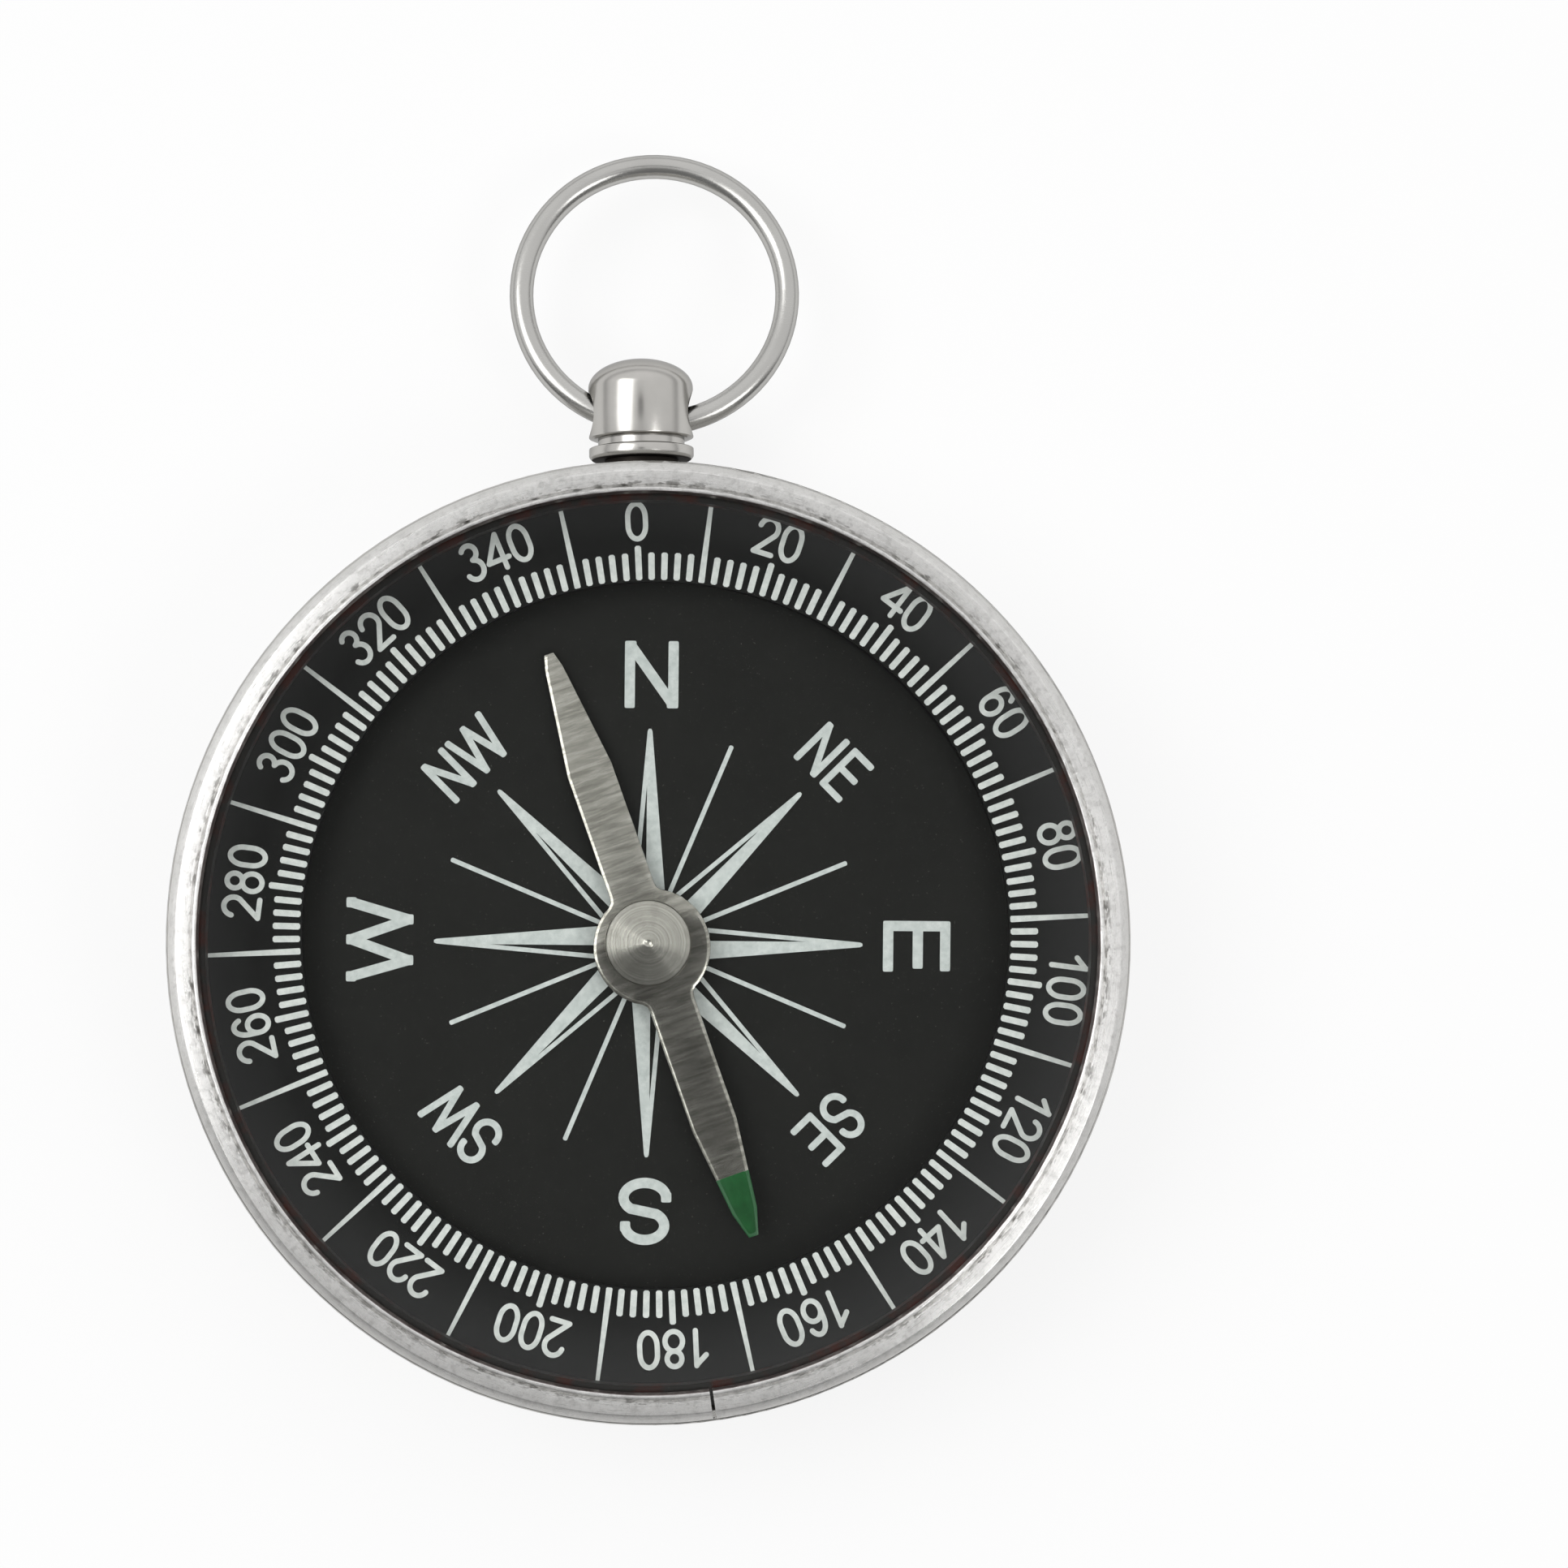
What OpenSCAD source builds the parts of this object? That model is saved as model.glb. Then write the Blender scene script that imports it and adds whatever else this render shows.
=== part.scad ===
// Pocket compass: drawn case with a bezel ring, a raised degree ring round a
// recessed rose card, a needle on a pivot, and a stem that carries a bow ring.
// The back lip stands on z = 0, the dial faces +Z and the stem points to +Y.

/* [Case] */
// Outside diameter of the case
case_d = 43.4; // [41:0.1:50]
// Height from the back lip to the top of the bezel ring
case_h = 10.2; // [10:0.1:14]
// Thickness of the drawn wall and floor
wall_t = 0.5; // [0.4:0.05:0.7]
// Radius of the corner between the side and the back
corner_r = 1.7; // [1.2:0.1:2]
// Radius of the rounded edge at the mouth of the case
mouth_r = 0.2; // [0.1:0.05:0.25]
// Depth of the recess in the back
recess_h = 0.4; // [0.2:0.05:0.6]
// Width of the slope round the recess
slope_w = 1; // [0.6:0.1:1.5]
// Width of the flat on the back lip
lip_flat_w = 0.4; // [0.3:0.05:0.8]

/* [Bezel ring] */
// Width of the whole rim, from the case's outside to the opening
rim_w = 1.45; // [1.2:0.05:1.6]
// Height of the bezel ring above the crystal
bezel_h = 0.9; // [0.7:0.05:1.2]
// Thickness of the flange that covers the edge of the case
flange_t = 0.4; // [0.3:0.05:0.5]
// Distance that the flange stays back from the case's outside
flange_inset = 0.2; // [0.1:0.05:0.3]
// Width of the slope at the flange's outer edge
shoulder_w = 0.25; // [0.1:0.05:0.4]
// Height of the slope at the flange's outer edge
shoulder_h = 0.18; // [0.1:0.01:0.22]
// Width of the raised lip round the opening
lip_w = 0.22; // [0.16:0.02:0.3]
// Height of the lip above the flange's flat top
lip_rise = 0.05; // [0.02:0.01:0.08]
// Width of the groove outside the lip
groove_w = 0.14; // [0.08:0.02:0.2]
// Depth of the groove outside the lip
groove_h = 0.08; // [0.04:0.02:0.14]
// Gap between the two ends of the split ring
split_w = 0.15; // [0.05:0.05:0.5]
// Bearing of the split, clockwise from the stem
split_bearing = 172.8; // [0:0.1:360]

/* [Crystal and spacer] */
// Thickness of the flat crystal
crystal_t = 1; // [0.8:0.1:1.4]
// Width of the small bevel round the crystal
crystal_bevel = 0.12; // [0.05:0.01:0.2]
// Height of the spacer ring between the degree ring and the crystal
spacer_h = 1; // [0.7:0.05:1.2]
// How far the spacer ring shows inside the opening
spacer_show = 0.2; // [0.1:0.05:0.4]

/* [Degree ring] */
// Width of the degree ring, from its outer edge to its hole
ring_w = 4.55; // [4.5:0.05:4.9]
// Thickness of the degree ring
ring_t = 0.5; // [0.3:0.05:0.7]
// Room round the degree ring in the case
ring_play = 0.55; // [0.5:0.01:0.6]
// Sideways shift of the degree ring in its seat
ring_shift_x = 0.33; // [-0.35:0.01:0.35]
// Shift of the degree ring towards the stem
ring_shift_y = 0.35; // [-0.35:0.01:0.35]
// Turn of the degree ring, counter-clockwise from the stem
ring_turn = 1.8; // [-5:0.1:5]
// Number of degree marks
marks = 180; // [90, 180]
// Width of a degree mark
mark_w = 0.29; // [0.2:0.01:0.34]
// Width of a long mark at its outer end
mark_tip_w = 0.18; // [0.14:0.02:0.26]
// Bare edge between the ring's hole and the marks
mark_inset = 0.07; // [0.05:0.01:0.15]
// Length of a plain mark
mark_short_l = 1.25; // [0.8:0.05:1.4]
// Length of a mark below a numeral
mark_mid_l = 1.57; // [1.45:0.01:1.9]
// Length of a mark between two numerals
mark_long_l = 4.42; // [3:0.02:4.44]
// Thickness of the printed ink
ink_t = 0.03; // [0.02:0.01:0.05]

/* [Rose card] */
// Thickness of the rose card
card_t = 0.3; // [0.2:0.05:0.5]
// Room between the rose card and the tray
card_gap = 0.1; // [0.05:0.05:0.3]
// Turn of the rose, clockwise from the stem
rose_turn = 1.3; // [-5:0.1:5]
// Number of points in the rose, with a plain line between each two
points = 8; // [4, 8]
// Radius of the rose
rose_r = 9.84; // [8:0.02:12]
// Radius at which the rose begins
rose_hub_r = 2.3; // [2.2:0.1:3.4]
// Width of a point where the rose begins
point_base_w = 1.5; // [1:0.05:1.55]
// Width of a point at its tip
point_tip_w = 0.22; // [0.16:0.02:0.3]
// Width of a drawn line
line_w = 0.21; // [0.14:0.01:0.26]
// How far the filled half of a point passes its centre line
fill_over = 0.12; // [0.05:0.01:0.16]

/* [Dial tray] */
// Thickness of the tray's deck
deck_t = 1; // [0.8:0.1:1.4]
// How far the degree ring overhangs the tray's recess
overhang = 0.6; // [0.55:0.05:1]
// Room between the tray and the case
tray_gap = 0.15; // [0.05:0.05:0.3]
// Width of the foot ring below the tray
foot_w = 1; // [0.8:0.1:1.4]
// Distance from the edge of the case's raised floor to the foot ring
foot_inset = 0.25; // [0.1:0.05:0.6]
// Thickness of a rib below the deck
rib_t = 0.8; // [0.6:0.1:1.2]
// Height of the ribs' lower edges above the case's floor
rib_lift = 0.4; // [0.2:0.1:1.5]
// Number of ribs below the deck
ribs = 6; // [4:1:8]
// Outside radius of the boss below the pivot
boss_r = 2.6; // [2.3:0.1:3.5]
// Wall of the boss below the pivot
boss_t = 0.8; // [0.6:0.1:0.9]

/* [Pivot] */
// Radius of the brass bush where it passes the deck
bush_r = 0.8; // [0.7:0.05:0.9]
// Radius of the bush's flange on the card
bush_flange_r = 1.5; // [1.2:0.1:2]
// Height of the bush's flange
bush_flange_h = 0.3; // [0.2:0.05:0.5]
// Radius of the bush's swaged end below the deck
bush_end_r = 1.2; // [1.1:0.05:1.4]
// Height of the bush's swaged end
bush_end_h = 0.4; // [0.3:0.05:0.6]
// Radius of the steel pivot
pivot_r = 0.35; // [0.25:0.05:0.4]
// Length of the pivot's ground point
pivot_point_h = 0.7; // [0.6:0.05:0.9]
// Radius of the blunted tip
pivot_tip_r = 0.03; // [0.02:0.01:0.05]

/* [Needle] */
// Turn of the needle, counter-clockwise from the stem
needle_turn = 18.6; // [-180:0.1:180]
// Thickness of the blade
blade_t = 0.3; // [0.2:0.05:0.4]
// Radius of the disc in the middle of the blade
disc_r = 2.68; // [2.4:0.02:3]
// Width of the arms
arm_w = 2.14; // [1.6:0.02:2.6]
// Distance from the pivot to the shoulders, where the arms begin to narrow
shoulder_y = 8.6; // [7:0.1:9.5]
// Width where the plain tip begins to round off
plain_nose_w = 0.86; // [0.6:0.02:1.2]
// Length of the rounded-off plain tip
plain_nose_l = 0.7; // [0.4:0.05:1.4]
// Width where the painted tip begins to round off
painted_nose_w = 1.2; // [0.8:0.02:1.4]
// Length of the rounded-off painted tip
painted_nose_l = 1.25; // [0.4:0.05:1.6]
// Reach of the small fillets between the arms and the disc
fillet_l = 0.2; // [0.1:0.02:0.4]
// Width of the blunt ends
tip_w = 0.46; // [0.2:0.02:0.6]
// Room between the plain tip and the hole of the degree ring
plain_tip_room = 1.84; // [1:0.02:3]
// Room between the painted tip and the hole of the degree ring
painted_tip_room = 2.12; // [1:0.02:3]
// Length of the painted end
paint_l = 2.96; // [2:0.02:4.5]
// Thickness of the paint
paint_t = 0.03; // [0.02:0.01:0.05]
// Bare edge round the paint
paint_edge = 0.06; // [0.03:0.01:0.12]
// Shift of the blade along its own width, off the pivot
blade_shift = 0.1; // [-0.3:0.02:0.3]
// Shift of the blade towards its painted tip, off the pivot
blade_slide = 0.24; // [0:0.02:0.4]
// Radius of the cap
cap_r = 1.97; // [1.8:0.01:2.2]
// Height of the cap's cone
cap_cone_h = 0.95; // [0.7:0.05:1.3]
// Height of the cap's straight rim
cap_rim_h = 0.2; // [0.1:0.05:0.3]
// Radius of the pit in the top of the cap
cap_pit_r = 0.16; // [0.1:0.02:0.24]
// Depth of the pit in the top of the cap
cap_pit_h = 0.1; // [0.05:0.01:0.15]
// Radius of the cap's neck through the blade
cap_neck_r = 1.15; // [1.1:0.05:1.3]
// Radius of the swaged collar below the blade
collar_r = 1.5; // [1.4:0.05:1.8]
// Height of the swaged collar
collar_h = 0.25; // [0.15:0.05:0.4]
// Radius of the jewel in the cap
jewel_r = 0.8; // [0.7:0.02:0.86]
// Height of the jewel
jewel_h = 0.75; // [0.65:0.05:0.85]
// Radius of the jewel's cup at its mouth
cup_r = 0.55; // [0.45:0.05:0.6]
// Radius of the jewel's cup at its floor
cup_floor_r = 0.08; // [0.06:0.01:0.12]
// Depth of the jewel's cup
cup_h = 0.5; // [0.4:0.05:0.55]
// Room between the cap and the crystal
cap_room = 0.3; // [0.2:0.05:0.4]
// Room between the collar and the bush
collar_room = 0.3; // [0.2:0.05:0.4]

/* [Stem] */
// Radius of the barrel
barrel_r = 2.42; // [2.2:0.02:2.6]
// Height of the dome
dome_h = 1.34; // [0.6:0.01:1.6]
// Depth of the groove below the barrel
stem_groove_h = 0.42; // [0.2:0.02:0.6]
// Length of the groove below the barrel
stem_groove_l = 0.4; // [0.3:0.02:0.5]
// Length of the flange's straight rim
stem_flange_l = 0.4; // [0.2:0.02:0.5]
// Length and width of the slope below the flange
stem_slope = 0.16; // [0.1:0.02:0.4]
// Radius of the neck that stands on the case
neck_r = 1.7; // [1.2:0.05:2]
// Length of the neck
neck_l = 0.6; // [0.5:0.02:0.9]
// Wall between the cross hole and the foot of the barrel
hole_foot_t = 0.11; // [0.1:0.01:0.4]
// Distance from the cross hole to the foot of the dome
hole_dome_t = 0.1; // [0.1:0.05:0.6]

/* [Bow] */
// Diameter of the bow's wire
wire_d = 1.1; // [0.9:0.02:1.2]
// Radius of the bow, to the middle of its wire
bow_r = 6.17; // [6:0.01:7]
// How far the wire sags below the axis of the cross hole
bow_sag = 0.46; // [0.3:0.01:0.48]
// Sideways shift of the bow in the cross hole
bow_shift = 0.7; // [-0.7:0.02:0.7]
// Room between the wire and the edges of the cross hole
bow_play = 0.06; // [0.04:0.01:0.1]
// Droop of the bow below the plane of the dial
bow_droop = 8; // [0:0.5:15]

/* [Stem screw] */
// Radius of the screw's shank
screw_r = 0.8; // [0.6:0.05:0.9]
// Radius of the screw's head
head_r = 1.45; // [1.3:0.05:1.6]
// Height of the screw's head
head_h = 1; // [0.8:0.05:1.2]
// Width of the slot in the screw's head
slot_w = 0.35; // [0.25:0.05:0.5]
// Depth of the slot in the screw's head
slot_h = 0.4; // [0.3:0.05:0.5]
// Wall between the tapped hole and the cross hole
tap_wall = 0.3; // [0.2:0.05:0.5]
// Distance from the end of the screw to the bottom of the tapped hole
tap_room = 0.2; // [0.1:0.05:0.3]
// Radius of the washer
washer_r = 1.7; // [1.6:0.05:1.75]
// Thickness of the washer
washer_t = 0.3; // [0.2:0.05:0.4]
// Room round the washer and the head in the tray's notch
notch_room = 0.3; // [0.2:0.05:0.5]
// Room between the washer and the degree ring above it
washer_room = 0.27; // [0.2:0.01:0.5]

/* [Hidden] */
$fn = 96;
// Extra length of every cut past the face that it opens
overrun = 0.5;
// Room between two pieces that are pressed or screwed together
seat_gap = 0.02;
// Room between the pivot and the bottom of the jewel's cup
rest_gap = 0.02;
// Number of steps in the dome's outline
dome_steps = 16;
// Room between the crystal and the case
crystal_gap = 0.05;
// Room between the spacer ring and the case
spacer_gap = 0.1;

// The case and the stack below the bezel
case_r = case_d / 2;
bore_r = case_r - wall_t;
opening_r = case_r - rim_w;
crystal_top = case_h - bezel_h;
crystal_z = crystal_top - crystal_t;
mouth_z = case_h - lip_rise - flange_t;
ring_top = crystal_z - spacer_h - ink_t;
seat_z = ring_top - ring_t;
slope_r = case_r - corner_r - lip_flat_w;
floor_r = slope_r - slope_w;
floor_z = wall_t + recess_h;

// The needle and the card below it
apex_z = crystal_z - cap_room;
blade_top = apex_z - cap_cone_h - cap_rim_h;
blade_z = blade_top - blade_t;
collar_z = blade_z - collar_h;
card_top = collar_z - collar_room - bush_flange_h;
deck_top = card_top - card_t;
deck_z = deck_top - deck_t;
jewel_z = blade_z;
pivot_tip_z = jewel_z + cup_h - rest_gap;

// The degree ring and what it leaves room for
ring_r = bore_r - ring_play;
ring_hole_r = ring_r - ring_w;
tray_recess_r = ring_hole_r + overhang;
tray_r = bore_r - tray_gap;
foot_r = floor_r - foot_inset;
mark_r = ring_hole_r + mark_inset;
plain_l = ring_hole_r - plain_tip_room;
painted_l = ring_hole_r - painted_tip_room;

// The stem, measured along Y from the case's outside
stem_z = seat_z - washer_room - washer_r;
flange_y = case_r + neck_l;
rim_y = flange_y + stem_slope;
groove_y = rim_y + stem_flange_l;
barrel_y = groove_y + stem_groove_l;

// The wire at the mouth that it leaves at the steepest slope, from the cross hole's axis
wire_r = wire_d / 2;
mouth_x = barrel_r + abs(bow_shift);
mouth_rise = bow_r - bow_sag - sqrt(bow_r * bow_r - mouth_x * mouth_x);
mouth_half = wire_r * bow_r / sqrt(bow_r * bow_r - mouth_x * mouth_x);
hole_r = max(mouth_rise + mouth_half, bow_sag + wire_r) + bow_play;
hole_y = barrel_y + hole_foot_t + hole_r;
dome_y = hole_y + hole_r + hole_dome_t;
tap_l = hole_y - hole_r - tap_wall - case_r;
washer_y = sqrt(bore_r * bore_r - washer_r * washer_r) - washer_t;
head_y = washer_y - head_h;
notch_y = head_y - notch_room;

steel = [0.78, 0.78, 0.77];
nickel = [0.72, 0.72, 0.71];
black = [0.1, 0.1, 0.1];
ink = [0.84, 0.88, 0.86];

// Half section of the outside of the case: rounded at the back and at the mouth
module case_section() {
    straight_h = mouth_z - corner_r - mouth_r;
    square([case_r - corner_r, mouth_z]);
    translate([0, corner_r]) square([case_r - mouth_r, mouth_z - corner_r]);
    translate([0, corner_r]) square([case_r, straight_h]);
    translate([case_r - corner_r, corner_r]) circle(r = corner_r);
    translate([case_r - mouth_r, mouth_z - mouth_r]) circle(r = mouth_r);
}

// Half section of the room inside the case, down to the inside of the back lip
module bore_section() {
    inner_r = corner_r - wall_t;
    translate([0, wall_t]) square([bore_r - inner_r, mouth_z + overrun - wall_t]);
    translate([0, corner_r]) square([bore_r, mouth_z + overrun - corner_r]);
    translate([bore_r - inner_r, corner_r]) circle(r = inner_r);
}

module case_shell() {
    slope_over = slope_w / recess_h * overrun;
    color(steel) difference() {
        rotate_extrude() case_section();
        difference() {
            rotate_extrude() bore_section();
            translate([0, 0, wall_t - overrun])
                cylinder(r1 = slope_r + slope_over, r2 = floor_r, h = recess_h + overrun);
        }
        translate([0, 0, -overrun])
            cylinder(r1 = slope_r + slope_over, r2 = floor_r, h = recess_h + overrun);
        translate([0, bore_r - overrun, stem_z]) rotate([-90, 0, 0])
            cylinder(r = screw_r + seat_gap, h = wall_t + 2 * overrun);
    }
}

// Half section of the bezel ring, with its lip, groove, flat top and outer slope
module bezel_section() {
    top = case_h - lip_rise;
    spigot_w = bore_r - seat_gap - opening_r;
    flange_r = case_r - flange_inset;
    flat_r = opening_r + lip_w + groove_w;
    translate([opening_r, crystal_top]) square([spigot_w, mouth_z - crystal_top]);
    polygon([
        [opening_r, mouth_z],
        [flange_r, mouth_z],
        [flange_r, top - shoulder_h],
        [flange_r - shoulder_w, top],
        [flat_r, top],
        [flat_r - groove_w / 2, top - groove_h],
        [opening_r + lip_w, top],
        [opening_r + lip_w, case_h - lip_w / 2],
        [opening_r, case_h - lip_w / 2]
    ]);
    translate([opening_r + lip_w / 2, case_h - lip_w / 2]) circle(d = lip_w);
}

module bezel_ring() {
    color(steel) difference() {
        rotate_extrude() bezel_section();
        rotate(-split_bearing) translate([-split_w / 2, opening_r - overrun, crystal_top - overrun])
            cube([split_w, rim_w + 2 * overrun, bezel_h + 2 * overrun]);
    }
}

module crystal() {
    r = bore_r - crystal_gap;
    color([0.8, 0.9, 0.92, 0.3]) rotate_extrude() polygon([
        [0, crystal_z],
        [r - crystal_bevel, crystal_z],
        [r, crystal_z + crystal_bevel],
        [r, crystal_top - crystal_bevel],
        [r - crystal_bevel, crystal_top],
        [0, crystal_top]
    ]);
}

// Flat ring between two radii
module flat_ring(inner, outer, h) {
    difference() {
        cylinder(r = outer, h = h);
        translate([0, 0, -overrun]) cylinder(r = inner, h = h + 2 * overrun);
    }
}

module spacer_ring() {
    color(black) translate([0, 0, ring_top + ink_t])
        flat_ring(opening_r - spacer_show, bore_r - spacer_gap, spacer_h);
}

module degree_ring() {
    color(black) translate([ring_shift_x, ring_shift_y, seat_z])
        flat_ring(ring_hole_r, ring_r, ring_t);
}

// Flat mark along +Y that starts at radius r, with its corners taken off
module mark(r, l, base_w, end_w) {
    cut = end_w / 4;
    polygon([
        [-base_w / 2 + cut, r], [base_w / 2 - cut, r],
        [base_w / 2, r + cut], [end_w / 2, r + l - cut],
        [end_w / 2 - cut, r + l], [cut - end_w / 2, r + l],
        [-end_w / 2, r + l - cut], [-base_w / 2, r + cut]
    ]);
}

module degree_marks() {
    step = 360 / marks;
    color(ink) translate([ring_shift_x, ring_shift_y, ring_top]) rotate(ring_turn)
        linear_extrude(ink_t) for (i = [0:marks - 1]) {
            degrees = i * step;
            rotate(-degrees)
                if (degrees % 20 == 0) mark(mark_r, mark_mid_l, mark_w, mark_w);
                else if (degrees % 10 == 0) mark(mark_r, mark_long_l, mark_w, mark_tip_w);
                else mark(mark_r, mark_short_l, mark_w, mark_w);
        }
}

module rose_card() {
    color(black) translate([0, 0, deck_top])
        flat_ring(bush_r + seat_gap, tray_recess_r - card_gap, card_t);
}

// One point of the rose along +Y: a filled half on its right and an outline on its left
module rose_point() {
    base = point_base_w / 2;
    tip = point_tip_w / 2;
    slope = (base - tip) / (rose_r - rose_hub_r);
    gap_end = rose_r - (line_w + fill_over - tip) / slope;
    difference() {
        polygon([
            [-base, rose_hub_r], [base, rose_hub_r],
            [tip, rose_r - tip], [tip / 2, rose_r], [-tip / 2, rose_r], [-tip, rose_r - tip]
        ]);
        polygon([
            [line_w - base - overrun * slope, rose_hub_r - overrun],
            [-fill_over, rose_hub_r - overrun],
            [-fill_over, gap_end]
        ]);
    }
}

module rose_marks() {
    step = 360 / points;
    color(ink) translate([0, 0, card_top]) rotate(-rose_turn)
        linear_extrude(ink_t) for (i = [0:points - 1]) {
            rotate(-i * step) rose_point();
            rotate(-(i + 1 / 2) * step)
                mark(rose_hub_r, rose_r - rose_hub_r, line_w, line_w);
        }
}

// Half section of the tray: the deck, the seat of the degree ring, the foot ring and the boss
module tray_section() {
    polygon([
        [bush_r + seat_gap, deck_top], [tray_recess_r, deck_top],
        [tray_recess_r, seat_z], [tray_r, seat_z], [tray_r, deck_z],
        [foot_r, deck_z], [foot_r, floor_z], [foot_r - foot_w, floor_z], [foot_r - foot_w, deck_z],
        [boss_r, deck_z], [boss_r, floor_z], [boss_r - boss_t, floor_z], [boss_r - boss_t, deck_z],
        [bush_r + seat_gap, deck_z]
    ]);
}

module dial_tray() {
    notch_w = 2 * (washer_r + notch_room);
    rib_l = foot_r - foot_w / 2 - (boss_r - boss_t / 2);
    color(black) difference() {
        union() {
            rotate_extrude() tray_section();
            for (i = [0:ribs - 1]) rotate((i + 1 / 2) * 360 / ribs)
                translate([boss_r - boss_t / 2, -rib_t / 2, floor_z + rib_lift])
                    cube([rib_l, rib_t, deck_z + deck_t / 2 - floor_z - rib_lift]);
        }
        translate([-notch_w / 2, notch_y, floor_z - overrun])
            cube([notch_w, tray_r, seat_z + 2 * overrun]);
    }
}

module pivot_bush() {
    color([0.78, 0.62, 0.3]) difference() {
        union() {
            translate([0, 0, card_top]) cylinder(r = bush_flange_r, h = bush_flange_h);
            translate([0, 0, deck_z]) cylinder(r = bush_r, h = card_top - deck_z);
            translate([0, 0, deck_z - bush_end_h]) cylinder(r = bush_end_r, h = bush_end_h);
        }
        translate([0, 0, deck_z])
            cylinder(r = pivot_r + seat_gap, h = card_top + bush_flange_h - deck_z + overrun);
    }
}

module pivot_point() {
    point_z = pivot_tip_z - pivot_point_h;
    color([0.6, 0.6, 0.6]) {
        translate([0, 0, deck_z]) cylinder(r = pivot_r, h = point_z - deck_z);
        translate([0, 0, point_z]) cylinder(r1 = pivot_r, r2 = pivot_tip_r, h = pivot_point_h);
    }
}

// Outline of one arm along +Y, with a fillet at its root and a blunt tip at l
module arm_outline(l, nose_l, end_w) {
    half = arm_w / 2;
    root_y = sqrt(disc_r * disc_r - half * half);
    fillet_y = sqrt(disc_r * disc_r - (half + fillet_l) * (half + fillet_l));
    polygon([
        [-half, 0], [-half - fillet_l, fillet_y], [-half, root_y + fillet_l], [-half, shoulder_y],
        [-end_w / 2, l - nose_l], [-tip_w / 2, l], [tip_w / 2, l], [end_w / 2, l - nose_l],
        [half, shoulder_y], [half, root_y + fillet_l], [half + fillet_l, fillet_y], [half, 0]
    ]);
}

module needle_blade() {
    color(nickel) translate([0, 0, blade_z]) rotate(needle_turn) difference() {
        translate([blade_shift, -blade_slide, 0]) union() {
            cylinder(r = disc_r, h = blade_t);
            linear_extrude(blade_t) arm_outline(plain_l, plain_nose_l, plain_nose_w);
            rotate(180) linear_extrude(blade_t)
                arm_outline(painted_l, painted_nose_l, painted_nose_w);
        }
        translate([0, 0, -overrun]) cylinder(r = cap_neck_r + seat_gap, h = blade_t + 2 * overrun);
    }
}

module needle_paint() {
    start = painted_l - paint_l;
    nose_y = painted_l - painted_nose_l;
    narrowing = (arm_w - painted_nose_w) / (nose_y - shoulder_y);
    side = (arm_w - (start - shoulder_y) * narrowing) / 2 - paint_edge;
    nose = painted_nose_w / 2 - paint_edge;
    tip = tip_w / 2 - paint_edge;
    end = painted_l - paint_edge;
    color([0.11, 0.33, 0.17]) translate([0, 0, blade_top]) rotate(needle_turn)
        linear_extrude(paint_t) translate([blade_shift, -blade_slide]) rotate(180) polygon([
            [-side, start], [-nose, nose_y], [-tip, end], [tip, end], [nose, nose_y], [side, start]
        ]);
}

module needle_cap() {
    bore = jewel_r + seat_gap;
    color(nickel) rotate_extrude() polygon([
        [0, apex_z - cap_pit_h],
        [cap_pit_r, apex_z],
        [cap_r, blade_top + cap_rim_h],
        [cap_r, blade_top],
        [cap_neck_r, blade_top],
        [cap_neck_r, blade_z],
        [collar_r, blade_z],
        [collar_r, collar_z],
        [bore, collar_z],
        [bore, jewel_z + jewel_h],
        [0, jewel_z + jewel_h]
    ]);
}

module cap_jewel() {
    color([0.75, 0.3, 0.4]) rotate_extrude() polygon([
        [cup_r, jewel_z],
        [jewel_r, jewel_z],
        [jewel_r, jewel_z + jewel_h],
        [0, jewel_z + jewel_h],
        [0, jewel_z + cup_h],
        [cup_floor_r, jewel_z + cup_h]
    ]);
}

// Half section of the turned stem, from the case outwards
module stem_section() {
    groove_r = barrel_r - stem_groove_h;
    polygon([
        [0, case_r],
        [neck_r, case_r],
        [neck_r, flange_y],
        [barrel_r - stem_slope, flange_y],
        [barrel_r, rim_y],
        [barrel_r, groove_y],
        [groove_r, groove_y + stem_groove_l / 4],
        [groove_r, barrel_y],
        [barrel_r - stem_groove_l / 2, barrel_y],
        [barrel_r, barrel_y + stem_groove_l / 5],
        for (i = [0:dome_steps - 1])
            [barrel_r * cos(90 * i / dome_steps), dome_y + dome_h * sin(90 * i / dome_steps)],
        [0, dome_y + dome_h]
    ]);
}

module stem() {
    color(nickel) translate([0, 0, stem_z]) difference() {
        rotate([-90, 0, 0]) rotate_extrude() stem_section();
        translate([-barrel_r - overrun, hole_y, 0]) rotate([0, 90, 0])
            cylinder(r = hole_r, h = 2 * (barrel_r + overrun));
        translate([0, case_r - overrun, 0]) rotate([-90, 0, 0])
            cylinder(r = screw_r + seat_gap, h = tap_l + overrun);
    }
}

module stem_washer() {
    color(nickel) translate([0, washer_y, stem_z]) rotate([-90, 0, 0])
        flat_ring(screw_r + seat_gap, washer_r, washer_t);
}

module stem_screw() {
    shank_l = case_r + tap_l - tap_room - washer_y;
    color(nickel) translate([0, washer_y, stem_z]) rotate([-90, 0, 0]) difference() {
        union() {
            translate([0, 0, -head_h]) cylinder(r = head_r, h = head_h);
            cylinder(r = screw_r, h = shank_l);
        }
        translate([-head_r - overrun, -slot_w / 2, -head_h - overrun])
            cube([2 * (head_r + overrun), slot_w, slot_h + overrun]);
    }
}

module bow_ring() {
    color(nickel) translate([0, hole_y, stem_z]) rotate([-bow_droop, 0, 0])
        translate([bow_shift, bow_r - bow_sag, 0])
            rotate_extrude() translate([bow_r, 0]) circle(d = wire_d);
}

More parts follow.
